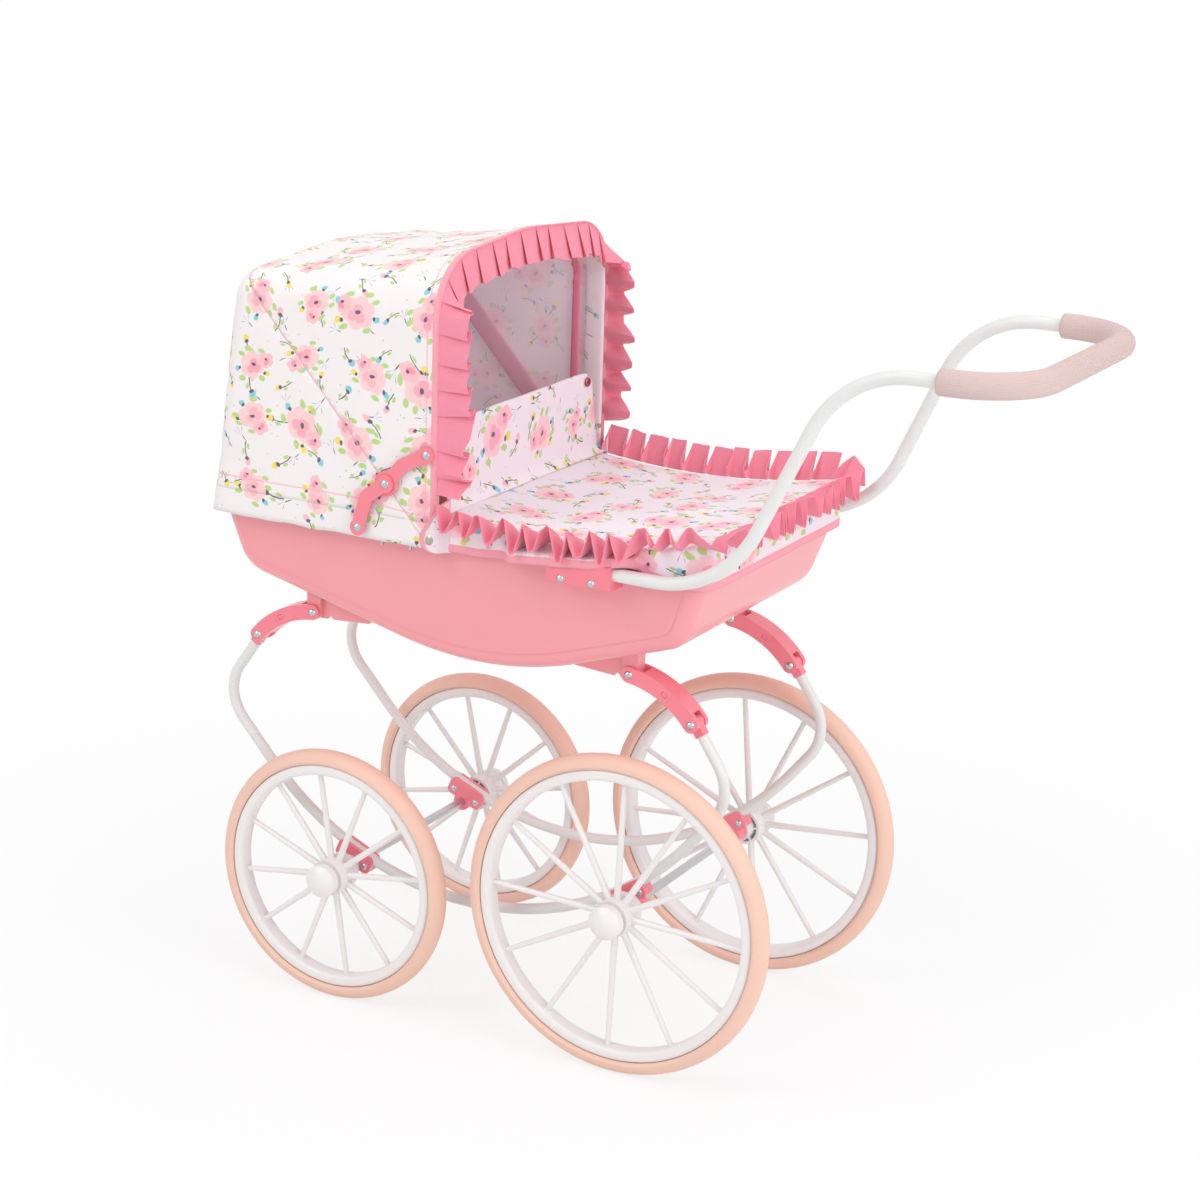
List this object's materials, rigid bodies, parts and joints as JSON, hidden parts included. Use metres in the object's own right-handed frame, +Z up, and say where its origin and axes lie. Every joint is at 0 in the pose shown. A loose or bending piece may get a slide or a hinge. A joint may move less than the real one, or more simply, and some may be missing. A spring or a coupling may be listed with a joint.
{
  "type": "doll stroller",
  "caption": "Doll's pram with a moulded tub on a sprung tube chassis, spoked wheels, a push handle, a cloth apron and a folding cloth hood.",
  "frame": {"origin": "on the floor, midway between the two axles and between the left and right wheels", "axes": "+X towards the push handle, +Y to the right side, +Z up"},
  "size_m": [0.8033, 0.331, 0.728],
  "materials": {
    "pink_tub": "satin moulded",
    "pink_plastic": "glossy moulded",
    "white_tube": "glossy paint",
    "steel": "bright plated",
    "axle_steel": "drawn",
    "white_wheel": "satin moulded",
    "peach_tyre": "matt",
    "foam": "matt foam",
    "floral_cotton": "printed cotton",
    "pink_cotton": "plain cotton"
  },
  "bodies": {
    "frame": {"apron": "floral_cotton", "apron_frill": "pink_cotton", "arm_rivets": "steel", "clamp_screws": "steel", "front_axle": "axle_steel", "handle_grip": "foam", "handle_rivets": "steel", "handle_tube": "white_tube", "hinge_plate_screws": "steel", "hood_pivot_pins": "steel", "hood_skirt": "floral_cotton", "left_chassis_tube": "white_tube", "left_front_arm": "pink_plastic", "left_front_axle_clamp": "pink_plastic", "left_front_clevis": "pink_plastic", "left_handle_socket": "pink_plastic", "left_hinge_plate": "white_tube", "left_rear_arm": "pink_plastic", "left_rear_axle_clamp": "pink_plastic", "left_rear_clevis": "pink_plastic", "press_studs": "steel", "rear_axle": "axle_steel", "right_chassis_tube": "white_tube", "right_front_arm": "pink_plastic", "right_front_axle_clamp": "pink_plastic", "right_front_clevis": "pink_plastic", "right_handle_socket": "pink_plastic", "right_hinge_plate": "white_tube", "right_rear_arm": "pink_plastic", "right_rear_axle_clamp": "pink_plastic", "right_rear_clevis": "pink_plastic", "stay_foot_rivets": "steel", "tub": "pink_tub", "tube_end_plugs": "pink_plastic"},
    "rear_bow": {"rear_bow": "white_tube", "hood_back_cloth": "floral_cotton"},
    "front_bow": {"front_bow": "white_tube", "hood_front_cloth": "floral_cotton", "hood_frill": "pink_cotton", "stay_head_rivets": "steel"},
    "apron_flap": {"apron_flap": "floral_cotton", "flap_studs": "steel"},
    "left_lower_stay": {"left_lower_stay": "pink_plastic", "left_stay_middle_rivet": "steel"},
    "left_upper_stay": {"left_upper_stay": "pink_plastic"},
    "left_front_wheel": {"left_front_tyre": "peach_tyre", "left_front_wheel": "white_wheel", "left_front_hub_cap": "white_wheel"},
    "left_rear_wheel": {"left_rear_tyre": "peach_tyre", "left_rear_wheel": "white_wheel", "left_rear_hub_cap": "white_wheel"},
    "right_lower_stay": {"right_lower_stay": "pink_plastic", "right_stay_middle_rivet": "steel"},
    "right_upper_stay": {"right_upper_stay": "pink_plastic"},
    "right_front_wheel": {"right_front_tyre": "peach_tyre", "right_front_wheel": "white_wheel", "right_front_hub_cap": "white_wheel"},
    "right_rear_wheel": {"right_rear_tyre": "peach_tyre", "right_rear_wheel": "white_wheel", "right_rear_hub_cap": "white_wheel"}
  },
  "joints": [
    {"name": "hood_fold", "type": "hinge", "parent": "frame", "child": "rear_bow", "pos_m": [-0.057, 0, 0.482], "axis": [0, -1, 0], "range_deg": [0, 43], "deforming": ["hood_back_cloth", "hood_front_cloth"]},
    {"name": "front_bow_fold", "type": "hinge", "parent": "rear_bow", "child": "front_bow", "pos_m": [-0.057, 0, 0.482], "axis": [0, -1, 0], "range_deg": [0, 38.1]},
    {"name": "flap_hinge", "type": "hinge", "parent": "frame", "child": "apron_flap", "pos_m": [-0.031, 0, 0.49475], "axis": [0, 1, 0], "range_deg": [0, 85]},
    {"name": "left_lower_stay_pivot", "type": "hinge", "parent": "frame", "child": "left_lower_stay", "pos_m": [-0.1117, -0.157, 0.4708], "axis": [0, -1, 0], "range_deg": [0, 110.88]},
    {"name": "left_upper_stay_pivot", "type": "hinge", "parent": "front_bow", "child": "left_upper_stay", "pos_m": [-0.042, -0.157, 0.546], "axis": [0, -1, 0], "range_deg": [-89.59, 0]},
    {"name": "right_lower_stay_pivot", "type": "hinge", "parent": "frame", "child": "right_lower_stay", "pos_m": [-0.1117, 0.157, 0.4708], "axis": [0, -1, 0], "range_deg": [0, 110.88]},
    {"name": "right_upper_stay_pivot", "type": "hinge", "parent": "front_bow", "child": "right_upper_stay", "pos_m": [-0.042, 0.157, 0.546], "axis": [0, -1, 0], "range_deg": [-89.59, 0]},
    {"name": "left_front_wheel_spin", "type": "hinge", "parent": "frame", "child": "left_front_wheel", "pos_m": [-0.1505, -0.136, 0.1225], "axis": [0, 1, 0], "continuous": true},
    {"name": "right_front_wheel_spin", "type": "hinge", "parent": "frame", "child": "right_front_wheel", "pos_m": [-0.1505, 0.136, 0.1225], "axis": [0, 1, 0], "continuous": true},
    {"name": "left_rear_wheel_spin", "type": "hinge", "parent": "frame", "child": "left_rear_wheel", "pos_m": [0.1505, -0.136, 0.15], "axis": [0, 1, 0], "continuous": true},
    {"name": "right_rear_wheel_spin", "type": "hinge", "parent": "frame", "child": "right_rear_wheel", "pos_m": [0.1505, 0.136, 0.15], "axis": [0, 1, 0], "continuous": true}
  ],
  "couplings": [
    {"joint": "front_bow_fold", "follows": "hood_fold", "ratio": 0.88372},
    {"joint": "left_lower_stay_pivot", "follows": "hood_fold", "ratio": 2.5764},
    {"joint": "left_upper_stay_pivot", "follows": "hood_fold", "ratio": -2.0811},
    {"joint": "right_lower_stay_pivot", "follows": "hood_fold", "ratio": 2.5764},
    {"joint": "right_upper_stay_pivot", "follows": "hood_fold", "ratio": -2.0811}
  ]
}
